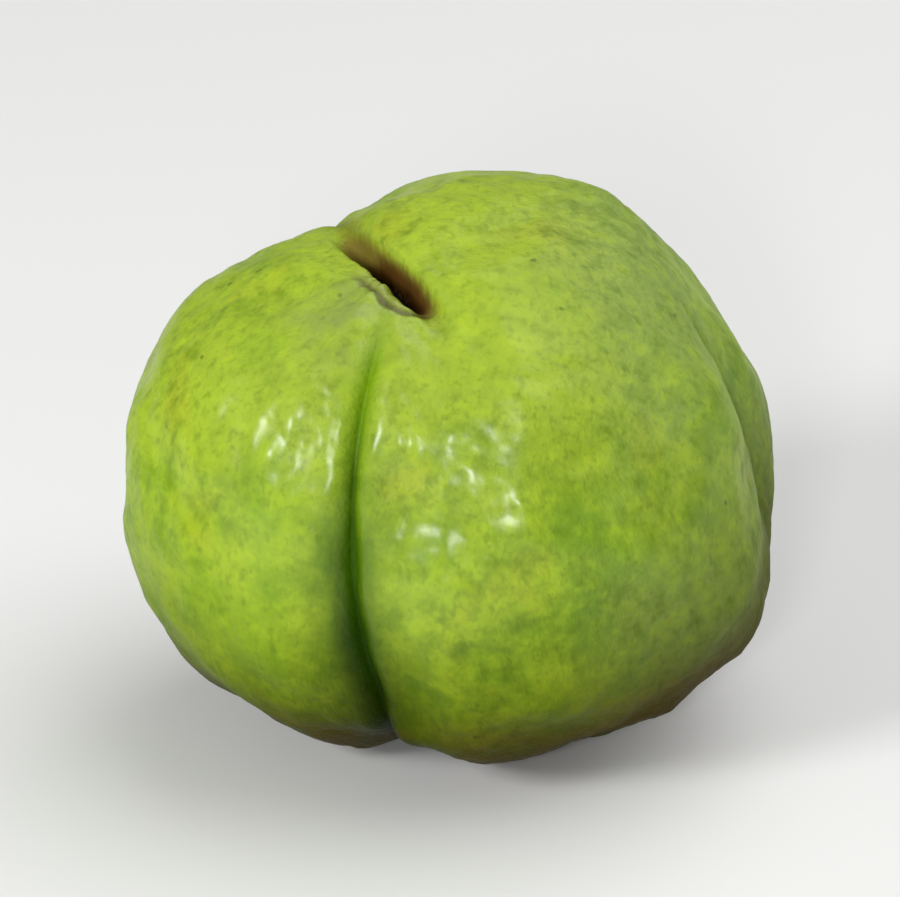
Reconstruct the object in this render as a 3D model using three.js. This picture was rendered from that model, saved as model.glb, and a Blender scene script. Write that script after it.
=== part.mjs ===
// A whole guava, picked, with a lobed and lightly wrinkled waxy skin.
//
// Millimetres, +Z up. The origin is on the surface that the fruit rests on, below the
// middle of its outline. -Y is the side that faces the viewer, +X is to the right.
//
// The fruit is described from its centre outwards: for each direction one formula says
// how far away the skin is. That formula holds the plump body, the swells and furrows
// that make its lobes, the slot where the stalk was and the small crown of sepals at the
// other end. The two dry remains, of the stalk and of the flower, are patches that lie
// just clear of that same skin.

import * as THREE from 'three';

// Body before swells and furrows, measured across and from the middle to each end
const WIDTH = 95.5;
const DEPTH = 88;
const STALK_END = 46.5;
const BLOSSOM_END = 37.5;
const FULLNESS = 2.15;          // 2 gives an ellipse, more gives squarer shoulders

// How the fruit has settled: its stalk end leans towards the viewer and to the left
const LEAN_FORWARD = 15;
const LEAN_LEFT = 9;
const FLAT_SPOT_DEPTH = 1.1;    // how much of the skin is pressed flat underneath

// Mean distances that turn an angle on the skin into millimetres
const GIRTH_RADIUS = 44;
const END_RADIUS = 40;

// Furrows run from the stalk end towards the blossom end and part the lobes. A furrow
// is a broad valley with a narrow crease along its middle. Depths are given near the
// stalk, at the girth and low down. "bend" is how far it swings aside near the stalk,
// and "bendReach" how quickly that dies away, in degrees.
const FURROWS = [
  {
    side: 'right', azimuth: -12, bend: 58, bendReach: 38, from: 42, to: 125,
    valley: 10, valleyDepth: [1.0, 1.6, 0.5], crease: 2.6, creaseDepth: [0.5, 0.6, 0.2],
  },
  {
    side: 'back right', azimuth: 62, bend: 6, bendReach: 30, from: 46, to: 165,
    valley: 18, valleyDepth: [1.0, 3.0, 4.0], crease: 4, creaseDepth: [0.3, 0.8, 0.8],
  },
  {
    side: 'back', azimuth: 115, bend: 42, bendReach: 10, from: 2, to: 165,
    valley: 15, valleyDepth: [0.3, 2.5, 4.0], crease: 4, creaseDepth: [1.2, 1.5, 1.0],
  },
  {
    side: 'left', azimuth: 176, bend: 0, bendReach: 30, from: 56, to: 165,
    valley: 17, valleyDepth: [1.0, 2.6, 4.0], crease: 4, creaseDepth: [0.2, 0.6, 0.8],
  },
  {
    side: 'front', azimuth: 249.5, bend: 16, bendReach: 12, from: 9, to: 170,
    valley: 15, valleyDepth: [0.8, 3.7, 4.3], crease: 3.8, creaseDepth: [1.8, 3.2, 2.6],
  },
  {
    side: 'front, beside the deep one', azimuth: 260, bend: 14, bendReach: 30, from: 36, to: 120,
    valley: 6.5, valleyDepth: [0.5, 1.4, 0.7], crease: 3, creaseDepth: [0.05, 0.1, 0.05],
  },
  {
    side: 'front right, faint', azimuth: 298, bend: 12, bendReach: 70, from: 34, to: 76,
    valley: 8, valleyDepth: [0.5, 0.8, 0.3], crease: 3, creaseDepth: [0.05, 0.1, 0.05],
  },
];
const DEPTHS_GIVEN_AT = [25, 75, 120];
const FURROW_FADES_IN = 18;
const FURROW_FADES_OUT = 35;

// Broad swells and flats, as polar angle from the stalk end, azimuth, reach and height
const SWELLS = [
  { polar: 42, azimuth: 88, reach: 24, height: -1.2 },
  { polar: 34, azimuth: 62, reach: 20, height: 2.4 },
  { polar: 25, azimuth: 108, reach: 14, height: -1.2 },
  { polar: 58, azimuth: 10, reach: 22, height: -1.2 },
  { polar: 46, azimuth: 26, reach: 16, height: 1.7 },
  { polar: 80, azimuth: -10, reach: 20, height: -1.4 },
  { polar: 44, azimuth: 152, reach: 18, height: -0.4 },
  { polar: 54, azimuth: 174, reach: 20, height: 0.9 },
  { polar: 64, azimuth: 192, reach: 24, height: 2.4 },
  { polar: 75, azimuth: -35, reach: 26, height: 0.8 },
  { polar: 62, azimuth: -88, reach: 16, height: 0.8 },
  { polar: 72, azimuth: -150, reach: 24, height: -1.0 },
  { polar: 125, azimuth: -145, reach: 30, height: -5.0 },
  { polar: 112, azimuth: -30, reach: 20, height: 0.3 },
  { polar: 130, azimuth: -72, reach: 24, height: -3.6 },
];

// Small uneven bumps all over the skin, drawn from one seed
const BUMPS = { count: 700, reach: 6.5, height: 0.8, seed: 4242 };

// Where the stalk was: a funnel drawn out into a narrow slot. It lies along an azimuth,
// shifted along it and to its left, and it has hardly any funnel on its right side.
const PIT = {
  azimuth: 119.5, shift: 1.3, aside: 2.1,
  funnelLength: 13, funnelLeft: 6, funnelRight: 1.2, funnelDepth: 2,
  slotLength: 9.1, slotWidth: 1.35, slotDepth: 6.5, slotSteepness: 3.4,
};

// The blossom end: a hollow with five sepals standing round a pocket
const HOLLOW = { reach: 13.5, depth: 7.6 };
const CROWN = { radius: 6.3, thickness: 2.1, height: 1.5, sepals: 5, turn: 0.4, notch: 0.3 };
const POCKET = { reach: 3.6, depth: 1.4 };

// Dry remains, clear of the skin by the gap that separate pieces keep
const GAP = 0.3;
const STALK_REMAINS = { length: 9, width: 1.2, thickness: 1.5, fibres: 9, fibreHeight: 0.3 };
const FLOWER_REMAINS = { radius: 3.9, thickness: 0.8, style: 1.5, rays: 10, rayHeight: 0.15 };

// Grids: columns follow the furrows, rings crowd towards both ends
const FRUIT_GRID = { columns: 78, rings: 66, crowdEnds: 0.75, crowdFurrows: 0.6 };
const REMAINS_GRID = { columns: 28, rings: 7 };

const PALE_GREEN = 0x9db44a;
const DRY_BROWN = 0x4a3719;
const HUSK_BROWN = 0x5b4423;

const { PI, sin, cos, exp, abs, min, max, hypot, sqrt, atan2, acos } = Math;
const radians = THREE.MathUtils.degToRad;
const degrees = THREE.MathUtils.radToDeg;
const smooth = (low, high, value) => THREE.MathUtils.smoothstep(value, low, high);

// Directions

function towards(polar, azimuth) {
  const [p, a] = [radians(polar), radians(azimuth)];
  return new THREE.Vector3(sin(p) * cos(a), sin(p) * sin(a), cos(p));
}

function wrapped(angle) {
  return angle - 2 * PI * Math.round(angle / (2 * PI));
}

// A rounded heap on the unit sphere, 1 at its middle and near 0 at its reach
function heap(direction, middle, reach) {
  return exp(-(1 - direction.dot(middle)) * 2 * GIRTH_RADIUS ** 2 / reach ** 2);
}

// The body

function bodyRadius(d) {
  const across = hypot(d.x / (WIDTH / 2), d.y / (DEPTH / 2));
  const along = abs(d.z) / (d.z > 0 ? STALK_END : BLOSSOM_END);
  return (across ** FULLNESS + along ** FULLNESS) ** (-1 / FULLNESS);
}

const swellMiddles = SWELLS.map((swell) => towards(swell.polar, swell.azimuth));

function swells(d) {
  return SWELLS.reduce((sum, swell, i) => sum + swell.height * heap(d, swellMiddles[i], swell.reach), 0);
}

// Numbers between 0 and 1 from a seed, so that the bumps are the same on every run
function drawsFrom(seed) {
  let state = seed;
  return () => {
    state = (state * 16807) % 2147483647;
    return state / 2147483647;
  };
}

function scatterBumps({ count, reach, height, seed }) {
  const draw = drawsFrom(seed);
  return Array.from({ length: count }, () => {
    const z = 2 * draw() - 1;
    const turn = 2 * PI * draw();
    const ring = sqrt(1 - z * z);
    return {
      middle: new THREE.Vector3(ring * cos(turn), ring * sin(turn), z),
      reach: reach * (0.6 + 0.8 * draw()),
      height: height * (2 * draw() - 1),
    };
  });
}

const bumpList = scatterBumps(BUMPS);

function bumps(d) {
  return bumpList.reduce((sum, bump) => sum + bump.height * heap(d, bump.middle, bump.reach), 0);
}

// Furrows

function furrowAzimuth(furrow, polar) {
  return furrow.azimuth + furrow.bend * exp(-polar / furrow.bendReach);
}

function depthAt(depths, polar) {
  const [near, girth, low] = DEPTHS_GIVEN_AT;
  const share = (a, b) => min(max((polar - a) / (b - a), 0), 1);
  return polar < girth
    ? THREE.MathUtils.lerp(depths[0], depths[1], share(near, girth))
    : THREE.MathUtils.lerp(depths[1], depths[2], share(girth, low));
}

function furrowDepth(furrow, polar, azimuth) {
  const away = wrapped(azimuth - radians(furrowAzimuth(furrow, polar)));
  if (cos(away) <= 0) return 0;
  const aside = abs(away) * sin(radians(polar)) * GIRTH_RADIUS;
  const fade = smooth(furrow.from, furrow.from + FURROW_FADES_IN, polar)
    * (1 - smooth(furrow.to - FURROW_FADES_OUT, furrow.to, polar));
  const valley = min(aside / furrow.valley, 1);
  const crease = min(aside / furrow.crease, 1);
  return fade * (depthAt(furrow.valleyDepth, polar) * (1 - valley) ** 2 * (1 + 2 * valley)
    + depthAt(furrow.creaseDepth, polar) * (1 - crease) ** 2);
}

// The two ends

// Millimetres along and across the slot, for a direction near the stalk end
function slotCoordinates(d) {
  const turn = radians(PIT.azimuth);
  return {
    along: (d.x * cos(turn) + d.y * sin(turn)) * END_RADIUS - PIT.shift,
    across: (d.y * cos(turn) - d.x * sin(turn)) * END_RADIUS - PIT.aside,
  };
}

function pitDepth(d) {
  const { along, across } = slotCoordinates(d);
  const side = across > 0 ? PIT.funnelLeft : PIT.funnelRight;
  const funnel = exp(-((along / PIT.funnelLength) ** 2) - (across / side) ** 2);
  const slot = exp(-(abs(along / PIT.slotLength) ** 3)
    - abs(across / PIT.slotWidth) ** PIT.slotSteepness);
  return smooth(0.2, 0.6, d.z) * (PIT.funnelDepth * funnel + PIT.slotDepth * slot);
}

function blossomDepth(d, azimuth) {
  const out = hypot(d.x, d.y) * END_RADIUS;
  const petalling = abs(cos(CROWN.sepals / 2 * (azimuth - CROWN.turn))) ** 0.7;
  const sepals = exp(-(((out - CROWN.radius) / CROWN.thickness) ** 2))
    * (CROWN.notch + (1 - CROWN.notch) * petalling);
  return smooth(0.2, 0.6, -d.z) * (HOLLOW.depth * exp(-((out / HOLLOW.reach) ** 2))
    + POCKET.depth * exp(-((out / POCKET.reach) ** 4)) - CROWN.height * sepals);
}

// Distance from the middle of the fruit to its skin
function skinRadius(d) {
  const azimuth = atan2(d.y, d.x);
  const polar = degrees(acos(min(max(d.z, -1), 1)));
  const furrows = FURROWS.reduce((sum, furrow) => sum + furrowDepth(furrow, polar, azimuth), 0);
  return bodyRadius(d) + swells(d) + bumps(d) - furrows - pitDepth(d) - blossomDepth(d, azimuth);
}

// Grids

// Columns between each furrow and the next, closer together beside the furrows
function columnPlan({ columns, crowdFurrows }) {
  const gaps = FURROWS.map((furrow, i) => {
    const next = FURROWS[(i + 1) % FURROWS.length];
    return (next.azimuth - furrow.azimuth + 360) % 360;
  });
  const counts = gaps.map((gap) => max(4, Math.round(columns * gap / 360)));
  const widest = gaps.indexOf(max(...gaps));
  counts[widest] += columns - counts.reduce((sum, count) => sum + count, 0);
  return counts.flatMap((count, i) => Array.from({ length: count }, (_, k) => {
    const step = k / count;
    return { furrow: i, share: step - crowdFurrows * sin(2 * PI * step) / (2 * PI) };
  }));
}

function columnAzimuth({ furrow, share }, polar) {
  const next = (furrow + 1) % FURROWS.length;
  const here = furrowAzimuth(FURROWS[furrow], polar);
  const there = furrowAzimuth(FURROWS[next], polar) + (next === 0 ? 360 : 0);
  return here + (there - here) * share;
}

// Directions from one end to the other: a point, rings of columns, and a point
function fruitDirections(grid) {
  const plan = columnPlan(grid);
  const directions = [towards(0, 0)];
  for (let ring = 1; ring < grid.rings; ring += 1) {
    const share = ring / grid.rings;
    const polar = 180 * (share - grid.crowdEnds * sin(2 * PI * share) / (2 * PI));
    for (const column of plan) {
      directions.push(towards(polar, columnAzimuth(column, polar)));
    }
  }
  directions.push(towards(180, 0));
  return directions;
}

// Triangles of a globe: a fan at each end and bands between its rings
function globeFaces(columns, rings) {
  const last = 1 + (rings - 1) * columns;
  const at = (ring, column) => 1 + (ring - 1) * columns + column % columns;
  const faces = [];
  for (let column = 0; column < columns; column += 1) {
    faces.push(0, at(1, column), at(1, column + 1));
    faces.push(at(rings - 1, column), last, at(rings - 1, column + 1));
    for (let ring = 1; ring < rings - 1; ring += 1) {
      const [a, b] = [at(ring, column), at(ring + 1, column)];
      const [c, d] = [at(ring + 1, column + 1), at(ring, column + 1)];
      faces.push(a, b, c, a, c, d);
    }
  }
  return faces;
}

// Placing

const lean = new THREE.Matrix4().makeRotationY(radians(-LEAN_LEFT))
  .multiply(new THREE.Matrix4().makeRotationX(radians(LEAN_FORWARD)));

const fruitPoints = fruitDirections(FRUIT_GRID)
  .map((d) => d.clone().multiplyScalar(skinRadius(d)).applyMatrix4(lean));
const outline = new THREE.Box3().setFromPoints(fruitPoints);
const standing = new THREE.Vector3(
  -(outline.min.x + outline.max.x) / 2,
  -(outline.min.y + outline.max.y) / 2,
  -outline.min.z - FLAT_SPOT_DEPTH,
);

function solid(name, points, faces, colour, roughness) {
  const geometry = new THREE.BufferGeometry();
  const placed = points.flatMap((point) => [
    point.x + standing.x,
    point.y + standing.y,
    max(point.z + standing.z, 0),
  ]);
  geometry.setAttribute('position', new THREE.Float32BufferAttribute(placed, 3));
  geometry.setIndex(faces);
  geometry.computeVertexNormals();
  const material = new THREE.MeshStandardMaterial({ color: colour, roughness, metalness: 0 });
  const mesh = new THREE.Mesh(geometry, material);
  mesh.name = name;
  return mesh;
}

// The dry remains: an upper and an under face over one patch of skin, joined at the rim.
// outwards(share, turn) gives a direction, and height(share, turn) the distance from the
// under face, where share is 0 in the middle of the patch and 1 at its rim.
function patchPoints(outwards, height) {
  const { columns, rings } = REMAINS_GRID;
  const points = [];
  const add = (share, turn, upper) => {
    const d = outwards(share, turn);
    const distance = skinRadius(d) + GAP + (upper ? height(share, turn) : 0);
    points.push(d.clone().multiplyScalar(distance).applyMatrix4(lean));
  };
  const addRing = (share, upper) => {
    for (let column = 0; column < columns; column += 1) {
      add(share, 2 * PI * column / columns, upper);
    }
  };
  add(0, 0, true);
  for (let ring = 1; ring <= rings; ring += 1) addRing(ring / rings, true);
  for (let ring = rings - 1; ring >= 1; ring -= 1) addRing(ring / rings, false);
  add(0, 0, false);
  return points;
}

function stalkRemains() {
  const { length, width, thickness, fibres, fibreHeight } = STALK_REMAINS;
  const turn = radians(PIT.azimuth);
  const outwards = (share, angle) => {
    const along = (PIT.shift + length / 2 * share * cos(angle)) / END_RADIUS;
    const across = (PIT.aside + width / 2 * share * sin(angle)) / END_RADIUS;
    const x = along * cos(turn) - across * sin(turn);
    const y = along * sin(turn) + across * cos(turn);
    return new THREE.Vector3(x, y, sqrt(1 - x * x - y * y));
  };
  const height = (share, angle) => (thickness + fibreHeight * cos(fibres * share * cos(angle)))
    * (1 - share ** 4);
  return patchPoints(outwards, height);
}

function flowerRemains() {
  const { radius, thickness, style, rays, rayHeight } = FLOWER_REMAINS;
  const outwards = (share, angle) => {
    const out = radius * share / END_RADIUS;
    return new THREE.Vector3(out * cos(angle), -out * sin(angle), -sqrt(1 - out * out));
  };
  const height = (share, angle) => (thickness + rayHeight * share * cos(rays * angle)
    + style * exp(-((share * 3.2) ** 2))) * (1 - share ** 6);
  return patchPoints(outwards, height);
}

const guava = new THREE.Group();
guava.add(solid(
  'fruit',
  fruitPoints,
  globeFaces(FRUIT_GRID.columns, FRUIT_GRID.rings),
  PALE_GREEN,
  0.42,
));
const patchFaces = globeFaces(REMAINS_GRID.columns, 2 * REMAINS_GRID.rings);
guava.add(solid('stalk_remains', stalkRemains(), patchFaces, DRY_BROWN, 0.9));
guava.add(solid('flower_remains', flowerRemains(), patchFaces, HUSK_BROWN, 0.9));

export default guava;
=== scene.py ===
# %% [markdown]
# # A lobed green guava
#
# A big crisp guava is a plump berry with a thin waxy skin. Deep furrows run from the
# stalk end to the blossom end and part it into lobes. The skin between them is never
# smooth: it is pillowed, finely wrinkled and flecked with pores.
#
# The solid model already has the lobes, the furrows, the slot of the stalk and the crown
# of sepals, with few faces. This lesson builds the same fruit with a fine skin, adds the
# small relief that light catches on, and paints it with procedural materials.

# %% Load the solid model
import math
from collections import namedtuple
from types import SimpleNamespace

import bpy
import numpy as np
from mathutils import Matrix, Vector


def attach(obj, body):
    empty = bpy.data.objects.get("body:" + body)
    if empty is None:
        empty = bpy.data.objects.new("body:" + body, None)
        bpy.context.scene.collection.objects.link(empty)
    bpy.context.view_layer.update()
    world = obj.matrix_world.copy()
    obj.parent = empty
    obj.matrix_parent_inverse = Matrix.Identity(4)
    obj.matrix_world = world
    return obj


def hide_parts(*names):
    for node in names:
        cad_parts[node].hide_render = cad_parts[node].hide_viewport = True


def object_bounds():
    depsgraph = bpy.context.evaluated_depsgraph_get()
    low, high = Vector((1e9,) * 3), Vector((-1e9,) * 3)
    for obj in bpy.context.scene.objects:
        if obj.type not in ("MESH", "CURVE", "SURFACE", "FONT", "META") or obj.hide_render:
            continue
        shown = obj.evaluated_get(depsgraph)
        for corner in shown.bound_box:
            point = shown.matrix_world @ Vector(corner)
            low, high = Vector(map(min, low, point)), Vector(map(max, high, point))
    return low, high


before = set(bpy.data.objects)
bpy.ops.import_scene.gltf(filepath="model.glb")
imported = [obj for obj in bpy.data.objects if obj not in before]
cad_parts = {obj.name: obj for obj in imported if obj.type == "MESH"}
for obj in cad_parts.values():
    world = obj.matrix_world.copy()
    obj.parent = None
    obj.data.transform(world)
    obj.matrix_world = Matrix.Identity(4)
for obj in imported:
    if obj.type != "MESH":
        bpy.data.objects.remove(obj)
solid_box = [list(corner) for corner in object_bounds()]
solid_low, solid_high = np.array(solid_box)
MM = 0.001
print("solid model, mm:", ((solid_high - solid_low) / MM).round(1))

# %% [markdown]
# ## The form as a formula
#
# A fruit has no flat or straight parts, so it could be sculpted, or grown from a
# subdivided ball. Here it follows one rule instead: for each direction from the middle,
# the rule says how far away the skin is. The rule starts from a squarish ellipsoid whose
# stalk end rises higher than its blossom end falls, and rounded heaps swell or flatten it
# where this fruit is fuller or leaner. All lengths in the rule are millimetres.

# %% Body
WIDTH, DEPTH = 95.5, 88.0
STALK_END, BLOSSOM_END = 46.5, 37.5
FULLNESS = 2.15


def bare_body(directions):
    """Distance from the middle to the surface of a squarish ellipsoid."""
    x, y, z = directions.T
    across = np.hypot(x / (WIDTH / 2), y / (DEPTH / 2))
    along = np.abs(z) / np.where(z > 0, STALK_END, BLOSSOM_END)
    return (across**FULLNESS + along**FULLNESS) ** (-1 / FULLNESS)


three_ways = np.eye(3)
print("bare body, mm to the right, the back and the stalk end:", bare_body(three_ways).round(1))

# %% Swells
GIRTH_RADIUS = 44.0

# Polar angle from the stalk end and azimuth, in degrees, then reach and height
SWELLS = [
    (42, 88, 24, -1.2),
    (34, 62, 20, 2.4),
    (25, 108, 14, -1.2),
    (58, 10, 22, -1.2),
    (46, 26, 16, 1.7),
    (80, -10, 20, -1.4),
    (44, 152, 18, -0.4),
    (54, 174, 20, 0.9),
    (64, 192, 24, 2.4),
    (75, -35, 26, 0.8),
    (62, -88, 16, 0.8),
    (72, -150, 24, -1.0),
    (125, -145, 30, -5.0),
    (112, -30, 20, 0.3),
    (130, -72, 24, -3.6),
]


def towards(polar, azimuth):
    """Unit vectors at these angles, in radians."""
    ring = np.sin(polar)
    return np.stack([ring * np.cos(azimuth), ring * np.sin(azimuth), np.cos(polar)], -1)


def towards_degrees(polar, azimuth):
    return towards(np.radians(polar), np.radians(azimuth))


def heap(directions, middle, reach):
    """A rounded heap on the unit sphere: 1 at its middle, about a third at its reach."""
    return np.exp(-(1 - directions @ middle) * 2 * GIRTH_RADIUS**2 / reach**2)


def body_radius(directions):
    """The bare body with its swells."""
    radius = bare_body(directions)
    for polar, azimuth, reach, height in SWELLS:
        radius += height * heap(directions, towards_degrees(polar, azimuth), reach)
    return radius


print("with its swells:", body_radius(three_ways).round(1))

# %% [markdown]
# ## Small uneven bumps
#
# The flesh under the skin grows unevenly, so the surface is gently pillowed all over.
# Several hundred heaps and dents, scattered by a seeded draw, give that. A noise texture
# would do it too, but these have to be the same bumps as on the solid model, so the
# numbers come from a generator that is written out and draws the same places there.

# %% Bumps
BUMP_COUNT, BUMP_REACH, BUMP_HEIGHT, BUMP_SEED = 700, 6.5, 0.8, 4242
SMALLEST_BUMP, BUMP_VARIATION = 0.6, 0.8
MULTIPLIER, MODULUS = 16807, 2147483647


def draws(seed):
    """Seeded numbers between 0 and 1, each worked out from the one before."""
    state = seed
    while True:
        state = state * MULTIPLIER % MODULUS
        yield state / MODULUS


def bumps(directions):
    """Height of all bumps together, of which half are dents."""
    draw = draws(BUMP_SEED)
    total = np.zeros(len(directions))
    for _ in range(BUMP_COUNT):
        height_up = 2 * next(draw) - 1
        middle = towards(math.acos(height_up), 2 * math.pi * next(draw))
        reach = BUMP_REACH * (SMALLEST_BUMP + BUMP_VARIATION * next(draw))
        total += BUMP_HEIGHT * (2 * next(draw) - 1) * heap(directions, middle, reach)
    return total


print("bumps there, mm:", bumps(three_ways).round(2))

# %% [markdown]
# ## Furrows
#
# A furrow is a broad valley, where two lobes roll in towards each other, with a narrow
# crease along its middle, where their skins meet. It could be pressed in with a brush,
# but as part of the rule it stays clean from end to end. Each furrow follows a line
# that may bend aside near the stalk. Its depth is given near the stalk, at the girth and
# low down, and it fades in and out along its length.

# %% Furrow lines and depths
# Angles are in degrees. The bend is at the stalk and dies away over its reach. Depths
# are given at three polar angles.
Furrow = namedtuple("Furrow", [
    "azimuth", "bend", "bend_reach", "start", "end",
    "valley_width", "valley_depths", "crease_width", "crease_depths",
])
FURROWS = {
    "right": Furrow(-12, 58, 38, 42, 125, 10, (1.0, 1.6, 0.5), 2.6, (0.5, 0.6, 0.2)),
    "back right": Furrow(62, 6, 30, 46, 165, 18, (1.0, 3.0, 4.0), 4, (0.3, 0.8, 0.8)),
    "back": Furrow(115, 42, 10, 2, 165, 15, (0.3, 2.5, 4.0), 4, (1.2, 1.5, 1.0)),
    "left": Furrow(176, 0, 30, 56, 165, 17, (1.0, 2.6, 4.0), 4, (0.2, 0.6, 0.8)),
    "front": Furrow(249.5, 16, 12, 9, 170, 15, (0.8, 3.7, 4.3), 3.8, (1.8, 3.2, 2.6)),
    "beside the front": Furrow(260, 14, 30, 36, 120, 6.5, (0.5, 1.4, 0.7), 3, (0.05, 0.1, 0.05)),
    "front right, faint": Furrow(298, 12, 70, 34, 76, 8, (0.5, 0.8, 0.3), 3, (0.05, 0.1, 0.05)),
}
DEPTHS_GIVEN_AT = (25, 75, 120)
FADES_IN, FADES_OUT = 18, 35


def furrow_azimuth(furrow, polar):
    return furrow.azimuth + furrow.bend * np.exp(-polar / furrow.bend_reach)


def along_furrow(values, polar):
    """Values that are given near the stalk, at the girth and low down, at any angle."""
    return np.interp(polar, DEPTHS_GIVEN_AT, values)


print("furrows:", "; ".join(FURROWS))

# %% [markdown]
# ## Depth of the furrows, and where their painted shade goes
#
# The same function reports two things that the paint needs later. Nearness spreads a
# few millimetres to both sides of a crease, where the skin is painted a deeper green as shade.
# The line is only as wide as the shadow where the two skins touch, and only the deep
# creases have it.

# %% Furrow depth
DEEPEST_CREASE = 3.2
NEARNESS_WIDTHS = (2.4, 5.0, 6.0)
LINED_FROM, LINE_WIDTH = 1.7, 1.0


def smooth(low, high, value):
    """A smooth step from 0 at low to 1 at high, or back if low is the larger."""
    share = np.clip((value - low) / (high - low), 0, 1)
    return share * share * (3 - 2 * share)


def beside_furrow(furrow, polar, azimuth):
    """Millimetres aside from a furrow's line, and how much of the furrow is there."""
    away = np.radians((azimuth - furrow_azimuth(furrow, polar) + 180) % 360 - 180)
    aside = np.abs(away) * np.sin(np.radians(polar)) * GIRTH_RADIUS
    fade = smooth(furrow.start, furrow.start + FADES_IN, polar)
    fade = fade * (1 - smooth(furrow.end - FADES_OUT, furrow.end, polar))
    return aside, fade * (np.cos(away) > 0)


def furrows(polar, azimuth):
    """Depth of all furrows, nearness to a crease and to its line, for angles in degrees."""
    depth, nearness, line = np.zeros((3, len(polar)))
    for furrow in FURROWS.values():
        aside, fade = beside_furrow(furrow, polar, azimuth)
        valley = np.clip(aside / furrow.valley_width, 0, 1)
        crease = np.clip(aside / furrow.crease_width, 0, 1)
        crease_depth = along_furrow(furrow.crease_depths, polar)
        valley_shape = (1 - valley) ** 2 * (1 + 2 * valley)
        depth += fade * along_furrow(furrow.valley_depths, polar) * valley_shape
        depth += fade * crease_depth * (1 - crease) ** 2
        spread = np.exp(-((aside / along_furrow(NEARNESS_WIDTHS, polar)) ** 2))
        near = fade * np.clip(crease_depth / DEEPEST_CREASE, 0, 1) * spread
        nearness = np.maximum(nearness, near)
        sharp = fade * np.clip(crease_depth / LINED_FROM, 0, 1) ** 2
        line = np.maximum(line, sharp * np.exp(-((aside / LINE_WIDTH) ** 2)))
    return depth, nearness, line


girth_depth = furrows(np.full(360, 90.0), np.arange(360.0))[0]
print("deepest furrow at the girth, mm:", girth_depth.max().round(1))

# %% [markdown]
# ## The slot of the stalk
#
# The stalk sat in a pit that the lobes have squeezed into a slot, steeper on its right
# side. A boolean cut would leave a hard rim, while on the fruit the skin rolls over the
# edge. So the pit is one more part of the rule: a wide shallow funnel with a narrow deep
# slot in it, measured in millimetres along and across.

# %% Slot
END_RADIUS = 40.0
END_FROM, END_WHOLE = 0.2, 0.6
PIT_AZIMUTH = math.radians(119.5)
PIT_SHIFT, PIT_ASIDE = 1.3, 2.1
FUNNEL_LENGTH, FUNNEL_LEFT, FUNNEL_RIGHT, FUNNEL_DEPTH = 13.0, 6.0, 1.2, 2.0
SLOT_LENGTH, SLOT_WIDTH, SLOT_DEPTH, SLOT_STEEPNESS = 9.1, 1.35, 6.5, 3.4


def at_end(height):
    """0 as far as the shoulder, 1 round the end itself; height is the unit vector's."""
    return smooth(END_FROM, END_WHOLE, height)


def slot_coordinates(directions):
    """Millimetres along and across the slot, from its middle."""
    x, y, _ = directions.T
    along = (x * math.cos(PIT_AZIMUTH) + y * math.sin(PIT_AZIMUTH)) * END_RADIUS - PIT_SHIFT
    across = (y * math.cos(PIT_AZIMUTH) - x * math.sin(PIT_AZIMUTH)) * END_RADIUS - PIT_ASIDE
    return along, across


def pit(directions):
    """Depth of funnel and slot, and the slot alone from 0 to 1."""
    along, across = slot_coordinates(directions)
    side = np.where(across > 0, FUNNEL_LEFT, FUNNEL_RIGHT)
    funnel = np.exp(-((along / FUNNEL_LENGTH) ** 2) - (across / side) ** 2)
    slot = np.exp(
        -np.abs(along / SLOT_LENGTH) ** 3
        - np.abs(across / SLOT_WIDTH) ** SLOT_STEEPNESS
    )
    on_top = at_end(directions[:, 2])
    return on_top * (FUNNEL_DEPTH * funnel + SLOT_DEPTH * slot), on_top * slot


print("slot, mm long, wide and deep:", 2 * SLOT_LENGTH, 2 * SLOT_WIDTH, FUNNEL_DEPTH + SLOT_DEPTH)

# %% [markdown]
# ## Lips and a fold beside the slot
#
# Round the near left of the slot the skin is puckered into two thin lips with a fold
# between them, painted dark as the shadow in it. They are lower than half a millimetre,
# so the solid model leaves them out. As ridges at set distances from the slot's middle
# line they follow its end round, which would take a steady hand with a brush.

# %% Lips and fold
LIP_STRAIGHT, LIP_WIDTH = 6.5, 0.65
LIPS = [(2.7, 0.15), (4.5, 0.25)]    # distance out from the slot's middle line, height
LIP_TINT_WIDTH = 1.5 * LIP_WIDTH
FOLD_OUT, FOLD_WIDTH, FOLD_DEPTH = 3.6, 0.45, 0.3
LIPS_ON_THE_LEFT, LIPS_AT_THE_NEAR_END = (-1.0, 1.5), (4.0, -2.0)


def lips(directions):
    """Height of lips and fold, nearness to the inner lip and nearness to the fold."""
    along, across = slot_coordinates(directions)
    out = np.hypot(np.maximum(np.abs(along) - LIP_STRAIGHT, 0), across)
    where = smooth(*LIPS_ON_THE_LEFT, across) * smooth(*LIPS_AT_THE_NEAR_END, along)
    where = where * at_end(directions[:, 2])
    ridges = [height * np.exp(-(((out - at) / LIP_WIDTH) ** 2)) for at, height in LIPS]
    lip = where * np.exp(-(((out - LIPS[0][0]) / LIP_TINT_WIDTH) ** 2))
    fold = where * np.exp(-(((out - FOLD_OUT) / FOLD_WIDTH) ** 2))
    return where * sum(ridges) - FOLD_DEPTH * fold, lip, fold


print("lips at", [at for at, _ in LIPS], "mm from the slot's middle line, fold at", FOLD_OUT)

# %% [markdown]
# ## The blossom end
#
# At the other end five fleshy sepals stand round a small pocket, all sunk in a wide
# hollow that keeps them off whatever the fruit rests on. Each sepal could be a mesh of
# its own, but they grow out of the skin without a seam. So they are one ring-shaped
# ridge in the rule, with five notches in it.

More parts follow.
